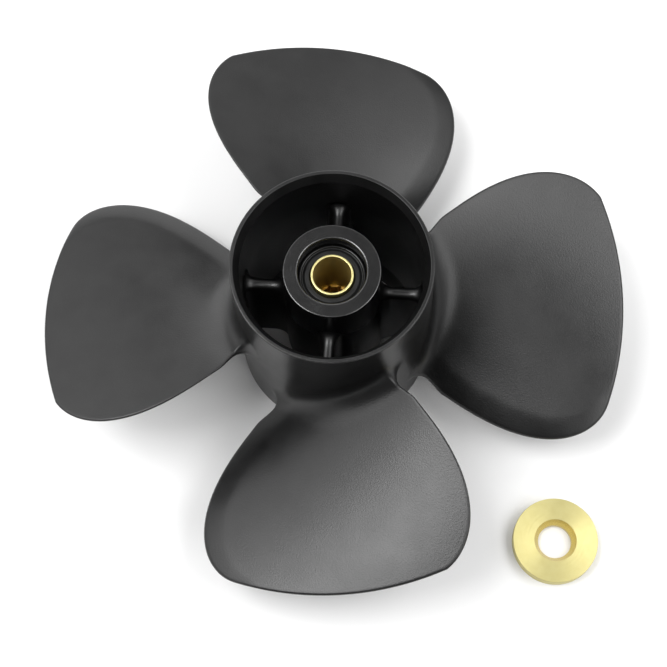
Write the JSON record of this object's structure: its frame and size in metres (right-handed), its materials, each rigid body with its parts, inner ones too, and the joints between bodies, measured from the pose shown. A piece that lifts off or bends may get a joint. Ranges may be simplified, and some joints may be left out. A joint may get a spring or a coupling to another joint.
{
  "type": "outboard motor propeller",
  "caption": "Right-hand boat propeller with broad swept blades on a through-hub exhaust barrel, ribbed inner hub, rubber bushing, splined brass sleeve and a loose brass thrust washer.",
  "frame": {"origin": "on the floor under the shaft axis, in the plane of the barrel's forward end", "axes": "+Z is the shaft axis and points aft, up from the floor; +X lies along blade_1's reference line; +Y completes a right-handed frame"},
  "size_m": [0.235, 0.235, 0.0855],
  "materials": {
    "black_coat": "satin black powder coat with a faint orange-peel grain, on cast aluminium",
    "bushing_rubber": "matt dark grey moulded rubber",
    "sleeve_brass": "machined golden brass",
    "washer_brass": "turned pale brass with fine concentric tool marks"
  },
  "bodies": {
    "root": {"outer_barrel": "black_coat", "inner_hub": "black_coat", "rib_1": "black_coat", "rib_2": "black_coat", "rib_3": "black_coat", "rib_4": "black_coat", "blade_1": "black_coat", "blade_2": "black_coat", "blade_3": "black_coat", "blade_4": "black_coat", "rubber_bushing": "bushing_rubber", "splined_sleeve": "sleeve_brass", "thrust_washer": "washer_brass"}
  },
  "joints": []
}
